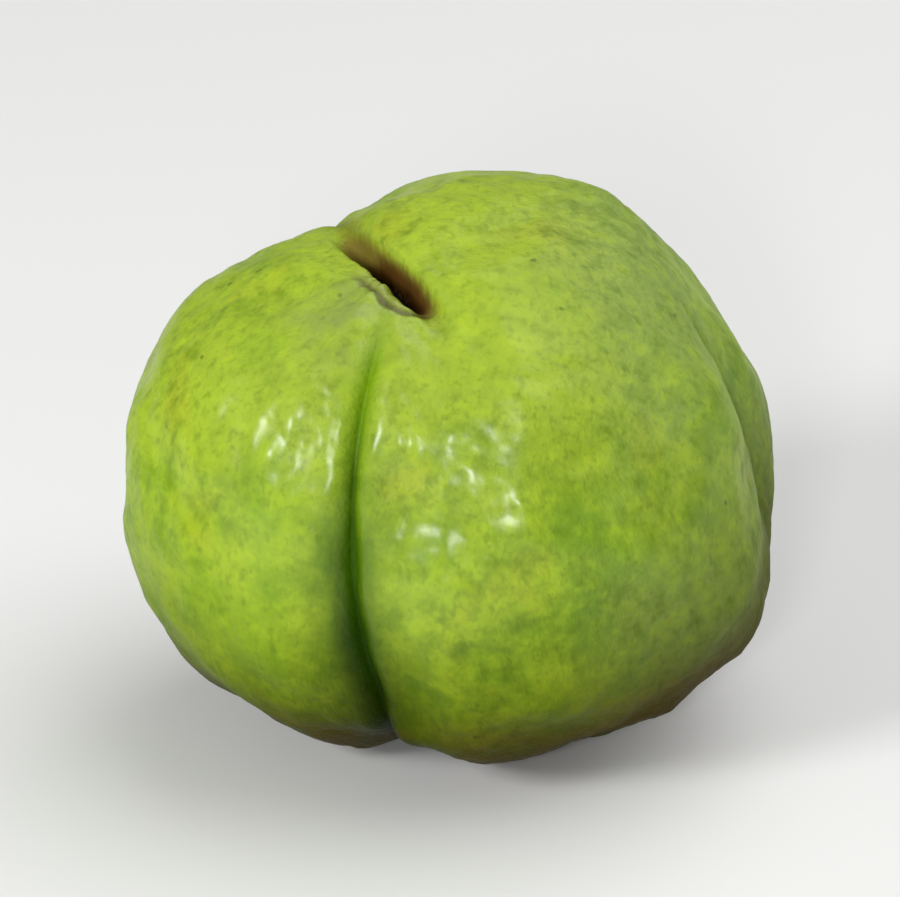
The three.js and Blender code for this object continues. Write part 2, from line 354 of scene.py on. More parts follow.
# %% Blossom end
HOLLOW_REACH, HOLLOW_DEPTH = 13.5, 7.6
SEPALS, CROWN_RADIUS, CROWN_THICKNESS, CROWN_HEIGHT = 5, 6.3, 2.1, 1.5
CROWN_TURN, CROWN_NOTCH, SEPAL_BLUNTNESS = 0.4, 0.3, 0.7
POCKET_REACH, POCKET_DEPTH = 3.6, 1.4


def blossom_end(directions, azimuth):
    """Depth of hollow and pocket less the sepals' height, nearness to pocket and sepals."""
    x, y, z = directions.T
    out = np.hypot(x, y) * END_RADIUS
    sepals = np.abs(np.cos(SEPALS / 2 * (np.radians(azimuth) - CROWN_TURN))) ** SEPAL_BLUNTNESS
    crown = np.exp(-(((out - CROWN_RADIUS) / CROWN_THICKNESS) ** 2))
    crown = crown * (CROWN_NOTCH + (1 - CROWN_NOTCH) * sepals)
    below = at_end(-z)
    depth = HOLLOW_DEPTH * np.exp(-((out / HOLLOW_REACH) ** 2))
    depth += POCKET_DEPTH * np.exp(-((out / POCKET_REACH) ** 4)) - CROWN_HEIGHT * crown
    return below * depth, below * np.exp(-((out / CROWN_RADIUS) ** 4)), below * crown


# %% The whole rule
def skin_radius(directions):
    """Distance from the middle to the skin, and what the materials need to know there."""
    polar = np.degrees(np.arccos(np.clip(directions[:, 2], -1, 1)))
    azimuth = np.degrees(np.arctan2(directions[:, 1], directions[:, 0]))
    furrow_depth, crease, line = furrows(polar, azimuth)
    pit_depth, slot = pit(directions)
    blossom_depth, blossom, sepal = blossom_end(directions, azimuth)
    lip_height, lip, fold = lips(directions)
    radius = body_radius(directions) + bumps(directions) + lip_height
    radius -= furrow_depth + pit_depth + blossom_depth
    facts = {"crease": crease, "line": line, "slot": slot, "lip": lip, "fold": fold}
    return radius, facts | {"blossom": blossom, "sepal": sepal}


both_ends = np.array([[0, 0, 1], [0, 0, -1]], float)
print("from the middle to both ends, mm:", skin_radius(both_ends)[0].round(1))

# %% [markdown]
# ## A grid that follows the furrows
#
# A crease only looks crisp where edges of the mesh run along it. On an even ball they
# cross it at random and it comes out as a zigzag. So the columns of this globe run down
# the furrow lines and stand closer together beside them, and its rings crowd towards both
# ends, where the slot and the sepals need them. Each end is one vertex with a fan.

# %% Grid
COLUMNS, RINGS = 404, 242
FEWEST_COLUMNS = 4
CROWD_ENDS, CROWD_FURROWS = 0.4, 0.35


def crowded(share, amount):
    """Even steps from 0 to 1, drawn closer together near both ends."""
    return share - amount * np.sin(2 * np.pi * share) / (2 * np.pi)


def grid_directions():
    """Directions of all vertices, from the stalk end, ring by ring, to the blossom end."""
    lines = list(FURROWS.values())
    following = lines[1:] + lines[:1]
    gaps = [(after.azimuth - line.azimuth) % 360 for line, after in zip(lines, following)]
    counts = [max(FEWEST_COLUMNS, round(COLUMNS * gap / 360)) for gap in gaps]
    counts[int(np.argmax(gaps))] += COLUMNS - sum(counts)
    polar = 180 * crowded(np.arange(1, RINGS) / RINGS, CROWD_ENDS)
    columns = []
    for line, after, count in zip(lines, following, counts):
        whole_turn = 360 if after is lines[0] else 0
        here = furrow_azimuth(line, polar)
        there = furrow_azimuth(after, polar) + whole_turn
        columns += [here + (there - here) * crowded(k / count, CROWD_FURROWS) for k in range(count)]
    azimuth = np.radians(np.array(columns).T)
    rings = towards(np.radians(polar)[:, None] + 0 * azimuth, azimuth).reshape(-1, 3)
    return np.concatenate([both_ends[:1], rings, both_ends[1:]])


def globe_faces(columns, rings):
    """Triangles of a globe: a fan at each end and split bands between its rings."""
    start = 1 + np.arange(rings - 1)[:, None] * columns
    here = start + np.arange(columns)
    beside = start + (np.arange(columns) + 1) % columns
    last = np.full(columns, 1 + (rings - 1) * columns)
    fans = [
        np.stack([0 * here[0], here[0], beside[0]], 1),
        np.stack([here[-1], last, beside[-1]], 1),
    ]
    a, b, c, d = (ring.ravel() for ring in (here[:-1], here[1:], beside[1:], beside[:-1]))
    return np.concatenate(fans + [np.stack([a, b, c], 1), np.stack([a, c, d], 1)])


directions = grid_directions()
skin_faces = globe_faces(COLUMNS, RINGS)
print("grid:", len(directions), "directions,", len(skin_faces), "triangles")

# %% [markdown]
# ## Placing the fruit
#
# The fruit has settled with its stalk end leaning towards the viewer and to the left. The
# lean is turned into the vertices, so the object itself stays unturned at the origin.
# The lowest part will be pressed flat, so the fruit is set that much below the surface
# it rests on.

# %% Lean and stand
LEAN_FORWARD, LEAN_LEFT = math.radians(15), math.radians(9)
FLAT_SPOT_DEPTH = 1.1


def lean_matrix():
    forward = np.array([
        [1, 0, 0],
        [0, math.cos(LEAN_FORWARD), -math.sin(LEAN_FORWARD)],
        [0, math.sin(LEAN_FORWARD), math.cos(LEAN_FORWARD)],
    ])
    left = np.array([
        [math.cos(LEAN_LEFT), 0, -math.sin(LEAN_LEFT)],
        [0, 1, 0],
        [math.sin(LEAN_LEFT), 0, math.cos(LEAN_LEFT)],
    ])
    return left @ forward


LEAN = lean_matrix()
radius, skin_facts = skin_radius(directions)
skin_facts["direction"] = directions
skin_points = directions * radius[:, None] @ LEAN.T
low, high = skin_points.min(0), skin_points.max(0)
STANDING = -np.array([(low[0] + high[0]) / 2, (low[1] + high[1]) / 2, low[2] + FLAT_SPOT_DEPTH])
print("leaning fruit, mm:", (high - low).round(1))

# %% [markdown]
# ## A mesh that carries facts
#
# The rule knows at each point how close a furrow, the slot or a sepal is. Stored on the
# vertices as named attributes, those facts reach the Geometry Nodes and the materials,
# so that relief and colour fall exactly where the form is.

# %% Fruit mesh
def new_piece(name, points, faces, attributes):
    """A mesh object at the origin, with its named values stored on its vertices."""
    mesh = bpy.data.meshes.new(name)
    mesh.from_pydata(points.tolist(), [], faces.tolist())
    for title, values in attributes.items():
        kind = "FLOAT" if values.ndim == 1 else "FLOAT_VECTOR"
        layer = mesh.attributes.new(title, kind, "POINT")
        layer.data.foreach_set("value" if values.ndim == 1 else "vector", values.ravel())
    mesh.shade_smooth()
    piece = bpy.data.objects.new(name, mesh)
    bpy.context.scene.collection.objects.link(piece)
    return piece


fruit = new_piece("guava_fruit", (skin_points + STANDING) * MM, skin_faces, skin_facts)
print("fruit:", len(fruit.data.vertices), "vertices,", len(fruit.data.polygons), "faces")

# %% [markdown]
# ## Sockets as Python values
#
# Both the skin's relief and its colours are sums of noises and masks. Written as nodes
# one by one they would fill pages. This small class wraps a socket, so that ordinary
# arithmetic on it adds the nodes: Math nodes for values, and Vector Math nodes where a
# vector or a colour takes part. Everything else comes from one function, node().

# %% A wrapper for sockets
class Wire:
    """The output of a node, which takes part in Python arithmetic."""

    def __init__(self, tree, socket):
        self.tree, self.socket = tree, socket

    def output(self, name):
        """Another output of the same node."""
        return Wire(self.tree, self.socket.node.outputs[name])

    def is_wide(self):
        return self.socket.type in ("VECTOR", "RGBA")

    def arithmetic(self, operation, first, second):
        wide = any(isinstance(value, Wire) and value.is_wide() for value in (first, second))
        kind = "ShaderNodeVectorMath" if wide else "ShaderNodeMath"
        names = ("Vector", "Vector_001") if wide else ("Value", "Value_001")
        values = [(v, v, v) if wide and isinstance(v, (int, float)) else v for v in (first, second)]
        return node(self.tree, kind, {"operation": operation}, dict(zip(names, values)))

    def __add__(self, other):
        return self.arithmetic("ADD", self, other)

    def __radd__(self, other):
        return self.arithmetic("ADD", other, self)

    def __sub__(self, other):
        return self.arithmetic("SUBTRACT", self, other)

    def __rsub__(self, other):
        return self.arithmetic("SUBTRACT", other, self)

    def __mul__(self, other):
        return self.arithmetic("MULTIPLY", self, other)

    def __rmul__(self, other):
        return self.arithmetic("MULTIPLY", other, self)


def node(tree, kind, settings=None, inputs=None, output=0):
    """Adds a node, sets it up, gives its sockets values or links, and wraps one output."""
    made = tree.nodes.new(kind)
    for name, value in (settings or {}).items():
        setattr(made, name, value)
    sockets = {socket.identifier: socket for socket in made.inputs}
    for name, value in (inputs or {}).items():
        if isinstance(value, Wire):
            tree.links.new(value.socket, sockets[name])
        else:
            sockets[name].default_value = value
    outputs = {socket.identifier: socket for socket in made.outputs}
    return Wire(tree, outputs[output] if isinstance(output, str) else made.outputs[output])


# %% Noise and masks
def noise(place, scale, detail=2.0, roughness=0.5, warp=0.0):
    """Cloudy noise from 0 to 1, with its features about 1/scale apart."""
    settings = {"noise_dimensions": "3D"}
    inputs = {"Vector": place, "Scale": scale, "Detail": detail, "Roughness": roughness}
    inputs["Distortion"] = warp
    return node(place.tree, "ShaderNodeTexNoise", settings, inputs)


def step(value, low, high):
    """A smooth step that goes from 0 at low to 1 at high, or back if low is the larger."""
    inputs = {"Value": value, "From Min": min(low, high), "From Max": max(low, high)}
    inputs |= {"To Min": float(low > high), "To Max": float(low < high)}
    return node(value.tree, "ShaderNodeMapRange", {"interpolation_type": "SMOOTHSTEP"}, inputs)


def close_to(direction, middle):
    """How closely a direction points at a middle: 1 there, less further away."""
    inputs = {"Vector": direction, "Vector_001": tuple(float(part) for part in middle)}
    return node(direction.tree, "ShaderNodeVectorMath", {"operation": "DOT_PRODUCT"}, inputs, "Value")


# %% [markdown]
# ## Fine relief in Geometry Nodes
#
# Under the broad bumps the skin has dimples a centimetre across, folds that run from end
# to end, pleats that crowd together beside the slot, and fine wrinkles that break up
# every highlight. They cover the whole surface by rule, so a Geometry Nodes tree pushes
# each vertex along its normal by a sum of noises. Its inputs are the sizes a maker would
# ask for. Real geometry is worth it here, because the folds show on the outline too.

# %% Geometry Nodes helpers
def new_tree(title, inputs):
    """A Geometry Nodes tree with named inputs, and wires for them."""
    tree = bpy.data.node_groups.new(title, "GeometryNodeTree")
    tree.interface.new_socket("Geometry", in_out="INPUT", socket_type="NodeSocketGeometry")
    tree.interface.new_socket("Geometry", in_out="OUTPUT", socket_type="NodeSocketGeometry")
    for name, kind in inputs.items():
        tree.interface.new_socket(name, in_out="INPUT", socket_type=kind)
    entry = tree.nodes.new("NodeGroupInput")
    return tree, {socket.name: Wire(tree, socket) for socket in entry.outputs if socket.name}


def finish_tree(geometry, material):
    """Ends a tree in Realize Instances and Set Material."""
    tree = geometry.tree
    real = node(tree, "GeometryNodeRealizeInstances", {}, {"Geometry": geometry})
    done = node(tree, "GeometryNodeSetMaterial", {}, {"Geometry": real, "Material": material})
    leave = tree.nodes.new("NodeGroupOutput")
    tree.links.new(done.socket, leave.inputs[0])


def named_value(tree, name, kind="FLOAT"):
    return node(tree, "GeometryNodeInputNamedAttribute", {"data_type": kind}, {"Name": name})


def evenly(values):
    """A noise from 0 to 1 turned into one from -1 to 1."""
    return (values - 0.5) * 2.0


def bake(piece, tree, values):
    """Runs a tree on a piece, keeps the result as its plain mesh and drops the modifier."""
    modifier = piece.modifiers.new(tree.name, "NODES")
    modifier.node_group = tree
    for item in tree.interface.items_tree:
        if item.in_out == "INPUT" and item.name in values:
            modifier[item.identifier] = values[item.name]
    graph = bpy.context.evaluated_depsgraph_get()
    result = bpy.data.meshes.new_from_object(
        piece.evaluated_get(graph), preserve_all_data_layers=True, depsgraph=graph
    )
    piece.modifiers.clear()
    piece.data = result
    result.name = piece.name
    result.shade_smooth()
    print(piece.name + ":", len(result.vertices), "vertices,", len(result.polygons), "faces")


# %% The relief tree
LIP_TOWARDS = towards_degrees(16, 225)
LINE_STRETCH = (0.0, 0.0, 0.22)
WRINKLE_SQUEEZE = (1.0, 1.0, 0.45)
FURROW_CALM = 0.6


def relief_height(given, place, direction, up):
    """Dimples, folds, pleats and wrinkles together."""
    # Nearly the same on a whole line from end to end, so that folds run along it
    level = direction * (1.0, 1.0, 0.0)
    around = node(place.tree, "ShaderNodeVectorMath", {"operation": "NORMALIZE"}, {"Vector": level})
    along_lines = around + direction * LINE_STRETCH

    dimples = evenly(noise(place, 95, detail=1.0))
    folds = evenly(noise(along_lines, 5.5, detail=2.0, warp=0.3))
    fold_patches = step(noise(place, 30, detail=0.0), 0.42, 0.62)
    pleats = evenly(noise(along_lines, 4.0, detail=0.0))
    beside_slot = step(close_to(direction, LIP_TOWARDS), 0.965, 0.995)
    wrinkles = evenly(noise(direction * WRINKLE_SQUEEZE, 15, detail=2.0, roughness=0.5, warp=0.3))
    puckers = evenly(noise(place, 300, detail=1.0, roughness=0.5))
    wrinkled = step(noise(place, 28, detail=1.0), 0.35, 0.65)

    height = dimples * given["Dimple height"]
    height += folds * fold_patches * step(up, 0.96, 0.8) * given["Fold height"]
    height += pleats * beside_slot * given["Pleat height"]
    height += (wrinkles + puckers * 0.6) * (wrinkled * 0.5 + 0.5) * given["Wrinkle height"]
    return height


def relief_tree():
    sizes = ["Dimple height", "Fold height", "Pleat height", "Wrinkle height"]
    inputs = dict.fromkeys(sizes, "NodeSocketFloat") | {"Material": "NodeSocketMaterial"}
    tree, given = new_tree("guava skin relief", inputs)
    place = node(tree, "GeometryNodeInputPosition")
    direction = named_value(tree, "direction", "FLOAT_VECTOR")
    crease, slot = named_value(tree, "crease"), named_value(tree, "slot")
    up = node(tree, "ShaderNodeSeparateXYZ", {}, {"Vector": direction}).output("Z")
    height = relief_height(given, place, direction, up)
    height = height * (1.0 - crease * FURROW_CALM) * (1.0 - slot)
    normal = node(tree, "GeometryNodeInputNormal")
    offset = node(tree, "ShaderNodeVectorMath", {"operation": "SCALE"}, {"Vector": normal, "Scale": height})
    moved = node(tree, "GeometryNodeSetPosition", {}, {"Geometry": given["Geometry"], "Offset": offset})
    finish_tree(moved, given["Material"])
    return tree


skin_material = bpy.data.materials.new("waxy guava skin")
bake(fruit, relief_tree(), {
    "Dimple height": 0.7 * MM,
    "Fold height": 0.5 * MM,
    "Pleat height": 0.6 * MM,
    "Wrinkle height": 0.36 * MM,
    "Material": skin_material,
})

# %% [markdown]
# ## Pressing the flat spot
#
# A ripening fruit is heavy enough to rest on a small flat spot. Whatever would reach
# below the surface it rests on is pressed up to it. A boolean cut would do the same, but
# it would leave long thin triangles. Fitting the outline to the solid model's box first
# takes up the fraction of a millimetre by which a fine mesh reaches further than a
# coarse one.

# %% Fit to the solid
def points_of(piece):
    flat = np.empty(3 * len(piece.data.vertices))
    piece.data.vertices.foreach_get("co", flat)
    return flat.reshape(-1, 3)


def set_points(piece, points):
    piece.data.vertices.foreach_set("co", points.ravel())
    piece.data.update()


points = points_of(fruit)
low, high = points.min(0), points.max(0)
points[:, 2] -= low[2] + FLAT_SPOT_DEPTH * MM
low[2], high[2] = 0, points[:, 2].max()
fit = (solid_high - solid_low) / (high - low)
points = solid_low + (points - low) * fit
points[:, 2] = np.maximum(points[:, 2], 0)
set_points(fruit, points)
print("fitted by", fit.round(4))

# %% [markdown]
# ## The dry remains
#
# A woody scar is left where the stalk broke off, and a dry disc with the stub of the
# style where the flower was. Both are low crusts that lie in the skin. They could be
# modelled apart and pushed into place, but then they would fit badly. So each starts as
# a round patch of the same surface, with an upper and an under face.

# %% Crusts
SUNK = 0.3
CRUST_COLUMNS, CRUST_RINGS = 72, 22


def crust(name, outwards, height):
    """A closed patch on the skin. outwards and height take share (0 to 1) and turn."""
    share = np.arange(1, CRUST_RINGS + 1) / CRUST_RINGS
    share = np.concatenate([[0], share, share[-2::-1], [0]])
    upper = np.arange(len(share)) <= CRUST_RINGS
    turns = np.linspace(0, 2 * np.pi, CRUST_COLUMNS, endpoint=False)
    single = (0, len(share) - 1)
    rows = []
    for i, ring_share in enumerate(share):
        turn = turns[:1] if i in single else turns
        towards_skin = outwards(ring_share, turn)
        distance = skin_radius(towards_skin)[0] - SUNK
        if upper[i]:
            distance = distance + height(ring_share, turn)
        rows.append(towards_skin * distance[:, None])
    local = np.concatenate(rows)
    placed = (local @ LEAN.T + STANDING) * MM
    faces = globe_faces(CRUST_COLUMNS, len(share) - 1)
    on_top = np.concatenate([np.full(len(row), float(upper[i])) for i, row in enumerate(rows)])
    return new_piece(name, placed, faces, {"on_top": on_top})


# %% Scar of the stalk
STALK_LENGTH, STALK_WIDTH, STALK_THICKNESS = 9.0, 1.2, 1.5
GRAIN_ALONG, GRAIN_ACROSS = 0.25, 0.12


def stalk_outwards(share, turn):
    along = (PIT_SHIFT + STALK_LENGTH / 2 * share * np.cos(turn)) / END_RADIUS
    across = (PIT_ASIDE + STALK_WIDTH / 2 * share * np.sin(turn)) / END_RADIUS
    x = along * math.cos(PIT_AZIMUTH) - across * math.sin(PIT_AZIMUTH)
    y = along * math.sin(PIT_AZIMUTH) + across * math.cos(PIT_AZIMUTH)
    return np.stack([x, y, np.sqrt(1 - x * x - y * y)], 1)


def stalk_height(share, turn):
    """Uneven as torn wood is, and rounded down to nothing at the edge."""
    ragged = GRAIN_ALONG * np.cos(9 * share * np.cos(turn))
    ragged = ragged + GRAIN_ACROSS * np.sin(17 * share * np.sin(turn) + 5 * share)
    return (SUNK + STALK_THICKNESS + ragged) * (1 - share**4)


scar = crust("stalk_scar", stalk_outwards, stalk_height)
print("scar:", len(scar.data.polygons), "faces")

# %% Husk of the flower
FLOWER_RADIUS, FLOWER_THICKNESS = 3.9, 0.8
STYLE_HEIGHT, STYLE_SLIMNESS = 1.2, 4.5
RAYS, RAY_HEIGHT = 10, 0.15


def flower_outwards(share, turn):
    out = FLOWER_RADIUS * share / END_RADIUS
    x, y = out * np.cos(turn), -out * np.sin(turn)
    return np.stack([x, y, -np.sqrt(1 - x * x - y * y)], 1)


def flower_height(share, turn):
    """A disc with low rays and the stub of the style in its middle."""
    style = STYLE_HEIGHT * np.exp(-((share * STYLE_SLIMNESS) ** 2))
    rays = RAY_HEIGHT * share * np.cos(RAYS * turn)
    return (SUNK + FLOWER_THICKNESS + rays + style) * (1 - share**6)


husk = crust("flower_husk", flower_outwards, flower_height)
print("husk:", len(husk.data.polygons), "faces")

# %% [markdown]
# ## Fibres and stamens
#
# Torn fibres stand on the scar and dead stamens on the disc. Both are the same slim
# cone, repeated. Placed one by one they would look combed, so a second tree scatters
# them over the crust by a seeded draw, and turns each one aside by its own amount.

# %% The fibre tree
FIBRE_SIDES, FIBRE_STEPS, FIBRE_TIP = 5, 4, 0.25
SHORTEST_FIBRE = 0.45


def random_value(tree, kind, low, high, seed, names, output):
    """A seeded draw between two values. The names are those of the node's sockets."""
    inputs = {names[0]: low, names[1]: high, "Seed": seed}
    return node(tree, "FunctionNodeRandomValue", {"data_type": kind}, inputs, output)


def fibre_tree():
    inputs = dict.fromkeys(["Length", "Thickness", "Spread", "Density"], "NodeSocketFloat")
    inputs |= {"Seed": "NodeSocketInt", "Material": "NodeSocketMaterial"}
    tree, given = new_tree("dry fibres on a crust", inputs)
    points = node(tree, "GeometryNodeDistributePointsOnFaces", {"distribute_method": "RANDOM"}, {
        "Mesh": given["Geometry"],
        "Selection": named_value(tree, "on_top"),
        "Density": given["Density"],
        "Seed": given["Seed"],
    })
    fibre = node(tree, "GeometryNodeMeshCone", {}, {
        "Vertices": FIBRE_SIDES,
        "Side Segments": FIBRE_STEPS,
        "Radius Top": given["Thickness"] * FIBRE_TIP,
        "Radius Bottom": given["Thickness"],
        "Depth": given["Length"],
    })
    size = random_value(
        tree, "FLOAT", SHORTEST_FIBRE, 1.0, given["Seed"], ("Min_001", "Max_001"), "Value_001"
    )
    standing = node(tree, "GeometryNodeInstanceOnPoints", {}, {
        "Points": points,
        "Instance": fibre,
        "Rotation": points.output("Rotation"),
        "Scale": size,
    })
    lean = node(tree, "ShaderNodeCombineXYZ", {}, {"X": given["Spread"], "Y": given["Spread"], "Z": 0.0})
    turned = random_value(tree, "FLOAT_VECTOR", lean * -1.0, lean, given["Seed"], ("Min", "Max"), "Value")
    leaning = node(tree, "GeometryNodeRotateInstances", {}, {"Instances": standing, "Rotation": turned})
    both = node(tree, "GeometryNodeJoinGeometry", {}, {"Geometry": leaning})
    tree.links.new(given["Geometry"].socket, both.socket.node.inputs[0])
    finish_tree(both, given["Material"])
    return tree


# %% Scatter the fibres
stalk_material = bpy.data.materials.new("dry woody stalk")
husk_material = bpy.data.materials.new("dry flower husk")
fibres = fibre_tree()
bake(scar, fibres, {
    "Length": 1.3 * MM,
    "Thickness": 0.14 * MM,
    "Spread": 0.9,
    "Density": 3.5e6,
    "Seed": 7,
    "Material": stalk_material,
})
bake(husk, fibres, {
    "Length": 1.6 * MM,
    "Thickness": 0.09 * MM,
    "Spread": 0.8,
    "Density": 1.6e6,
    "Seed": 23,
    "Material": husk_material,
})

# %% [markdown]
# ## The waxy skin
#
# Guava skin is yellow-green, painted paler towards the stalk end as light from above, a
# deeper green down in the furrows as painted shade, brown in the slot and darker towards
# the base as painted shade. A picture wrapped round the fruit would show a seam, and
# would blur when seen close. Noise on the object's own coordinates does neither, and the
# attributes on the mesh say where each part of the form is. Every kind of mark is a short
# function, which takes the colour so far and lays its own over it.

# %% Colours
def colour(red, green, blue):
    """A colour seen on screen, 0 to 255, as the linear light that shaders use."""
    def linear(c):
        return c / 12.92 if c <= 0.04045 else ((c + 0.055) / 1.055) ** 2.4
    return (*(linear(c / 255) for c in (red, green, blue)), 1.0)


def mix(factor, first, second):
    """Between two colours: the first where factor is 0, the second where it is 1."""
    inputs = {"Factor_Float": factor, "A_Color": first, "B_Color": second}
    return node(factor.tree, "ShaderNodeMix", {"data_type": "RGBA"}, inputs, "Result_Color")


LEAF, LIME = colour(116, 148, 16), colour(142, 170, 28)
print("leaf green in linear light:", [round(part, 3) for part in LEAF[:3]])


# %% Material helpers
def start_material(material):
    material.use_nodes = True
    tree = material.node_tree
    tree.nodes.clear()
    place = node(tree, "ShaderNodeTexCoord", output="Object")
    shader = tree.nodes.new("ShaderNodeBsdfPrincipled")
    out = tree.nodes.new("ShaderNodeOutputMaterial")
    tree.links.new(shader.outputs["BSDF"], out.inputs["Surface"])
    return tree, place, shader


def connect(wire, shader, name):
    wire.tree.links.new(wire.socket, shader.inputs[name])


def attribute(tree, name, output="Fac"):
    return node(tree, "ShaderNodeAttribute", {"attribute_name": name}, {}, output)


def read_skin(tree, place):
    """What the mesh knows at each point, and two noises that several marks share."""
    skin = SimpleNamespace(place=place, direction=attribute(tree, "direction", "Vector"))
    for name in ("crease", "line", "slot", "lip", "fold", "blossom", "sepal"):
        setattr(skin, name, attribute(tree, name))
    parts = node(tree, "ShaderNodeSeparateXYZ", {}, {"Vector": skin.direction})
    skin.right, skin.up = parts.output("X"), parts.output("Z")
    skin.clouds = noise(place, 42, detail=4.0, roughness=0.6, warp=0.5)
    skin.patches = noise(place, 130, detail=4.0, roughness=0.6)
    return skin


# %% [markdown]
# ## Mottling, painted top light and a painted sheen
#
# Clouds of leaf green and lime, a centimetre or two across, lie under everything else.
# Towards the stalk end the green is painted paler, as light falling from above. Some
# patches are fresher and some yellower. Over them, mostly on the right of the fruit, lies
# a grey painted reflection of the bright room, as a sheen, and there a thin bloom also
# takes the gloss away.

# %% Mottled green
BRIGHT_LIME, DEEP_LEAF = colour(158, 182, 34), colour(96, 132, 10)
TOP_LIGHT_LIME = colour(172, 190, 66)
FRESH_GREEN, YELLOWED = colour(98, 146, 14), colour(166, 160, 28)
SHEEN_GREY = colour(134, 156, 84)


def mottled(skin):
    """Leaf green and lime in cloudy patches, painted paler towards the stalk end as light from above."""
    base = mix(step(skin.clouds, 0.36, 0.64), LEAF, LIME)
    base = mix(step(skin.patches, 0.44, 0.68) * 0.5, base, BRIGHT_LIME)
    base = mix(step(skin.patches, 0.46, 0.30) * 0.45, base, DEEP_LEAF)
    # Painted light: a paler lime towards the stalk end, where light falls from above
    base = mix(step(skin.up, 0.4, 0.95) * 0.45, base, TOP_LIGHT_LIME)
    fresh = step(noise(skin.place, 55, detail=3.0), 0.50, 0.66)
    yellowed = step(noise(skin.place, 75, detail=3.0), 0.58, 0.72)
    base = mix(fresh * 0.25, base, FRESH_GREEN)
    return mix(yellowed * 0.28, base, YELLOWED)


def bloom_mask(skin):
    """Painted reflection of the bright room as a grey sheen: strong on the right of the fruit, and a trace
    of it elsewhere.
    """
    clouds = noise(skin.place, 30, detail=5.0, roughness=0.65)
    bloom = step(clouds + step(skin.right, 0.1, 0.8) * 0.12, 0.40, 0.68)
    return bloom * (step(skin.right, 0.25, 0.75) * 0.92 + 0.08)


def bloomed(base, skin):
    # Painted reflection: a grey sheen of the bright room laid over the green
    return mix(skin.bloom * 0.8, base, SHEEN_GREY)


# %% [markdown]
# ## Flecks, pores and scuffs
#
# Close up, the skin is full of soft flecks, and faint strokes run over it from end to
# end. Dark pores and a few larger blemishes are scattered on it. A pattern of cells gives
# one round spot in each cell, and drawing only some of the cells keeps them sparse. The
# place is shaken by a noise first, so that no spot is a perfect circle.

# %% Flecks and strokes
DARK_FLECK, PALE_FLECK = colour(88, 116, 14), colour(172, 198, 36)
DARK_SPECKLE, DARK_STROKE = colour(84, 110, 14), colour(92, 122, 20)


def flecked(base, skin):
    """Soft flecks, darker and paler, thicker in some places, and strokes down the sides."""
    flecks = noise(skin.place, 330, detail=2.0, roughness=0.6)
    thick = step(noise(skin.place, 75, detail=1.0), 0.35, 0.65)
    base = mix(step(flecks, 0.46, 0.78) * (thick * 0.45 + 0.15), base, DARK_FLECK)
    base = mix(step(flecks, 0.54, 0.24) * 0.35, base, PALE_FLECK)
    speckle = noise(skin.place, 900, detail=1.0)
    base = mix(step(speckle, 0.50, 0.80) * 0.30, base, DARK_SPECKLE)
    strokes = noise(skin.direction * (1.0, 1.0, 0.25), 26, detail=2.0)
    return mix(step(strokes, 0.54, 0.74) * step(skin.up, 0.95, 0.8) * 0.4, base, DARK_STROKE)


# %% Pores, blemishes and scuffs
PORE, BLEMISH, SCUFF = colour(70, 84, 20), colour(84, 82, 26), colour(104, 92, 40)
SPOT_CORE = 0.45
DRAW_SOFTNESS = 0.02


def shaken(place, scale, detail, amount):
    return place + (noise(place, scale, detail=detail) - 0.5) * amount


def spots(place, scale, radius, share):
    """Round spots, one in a cell, on this share of the cells."""
    cells = node(place.tree, "ShaderNodeTexVoronoi", {}, {"Vector": place, "Scale": scale})
    chosen = node(place.tree, "ShaderNodeSeparateColor", {}, {"Color": cells.output("Color")})
    return step(cells, radius, radius * SPOT_CORE) * step(chosen, 1 - share, 1 - share + DRAW_SOFTNESS)


def pore_mask(skin):
    return spots(shaken(skin.place, 300, 1.0, 1.5 * MM), 260, 0.16, 0.10)


def marked(base, skin):
    blemishes = spots(shaken(skin.place, 700, 2.0, 3.0 * MM), 95, 0.13, 0.16)
    scuffs = step(noise(skin.place, 85, detail=6.0, roughness=0.75), 0.66, 0.74)
    base = mix(skin.pores * 0.6, base, PORE)
    base = mix(blemishes * 0.4, base, BLEMISH)
    return mix(scuffs * 0.45, base, SCUFF)


# %% [markdown]
# ## Colours that follow the form
#
# In the furrows the skin is painted a deep clean green as shade, with a darker line as
# the painted shadow where the two sides touch. The slot is brown, and the brown runs on
# in streaks along the back furrow. Towards the base the whole skin is painted darker as
# shade, with brown patches that are partly its own and partly a painted reflection of a
# brown surface below, and the pocket and the sepals are dry. All of these read the facts
# that the mesh carries.

# %% Furrows, painted shade
FURROW_SHADE_GREEN, UPPER_FURROW_SHADE_GREEN = colour(30, 62, 2), colour(120, 158, 12)
CREASE_SHADOW_GREEN, UPPER_CREASE_SHADOW_GREEN = colour(46, 82, 3), colour(108, 146, 6)


def shaded_in_furrows(base, skin):
    """Painted shade: deep green in the furrows, deepest below the girth, with a darker line as painted
    shadow.
    """
    # Painted shade: a deeper green over the furrows
    base = mix(skin.crease * step(skin.up, 0.92, 0.5), base, FURROW_SHADE_GREEN)
    base = mix(skin.crease * step(skin.up, 0.2, 0.98) * 0.7, base, UPPER_FURROW_SHADE_GREEN)
    # Painted shadow along the line where two lobes touch
    crease_shadow_colour = mix(step(skin.up, 0.93, 0.7), UPPER_CREASE_SHADOW_GREEN, CREASE_SHADOW_GREEN)
    return mix(skin.line * 0.9, base, crease_shadow_colour)


# %% Slot, lips and the fold's painted shadow
FAR_END_TOWARDS = towards_degrees(22, 122)
SLOT_EDGE, SLOT_CORE = colour(118, 94, 44), colour(84, 56, 20)
LIP_GREY_GREEN, LIP_TAN, FOLD_SHADOW_BROWN = colour(118, 134, 80), colour(140, 130, 88), colour(76, 70, 34)


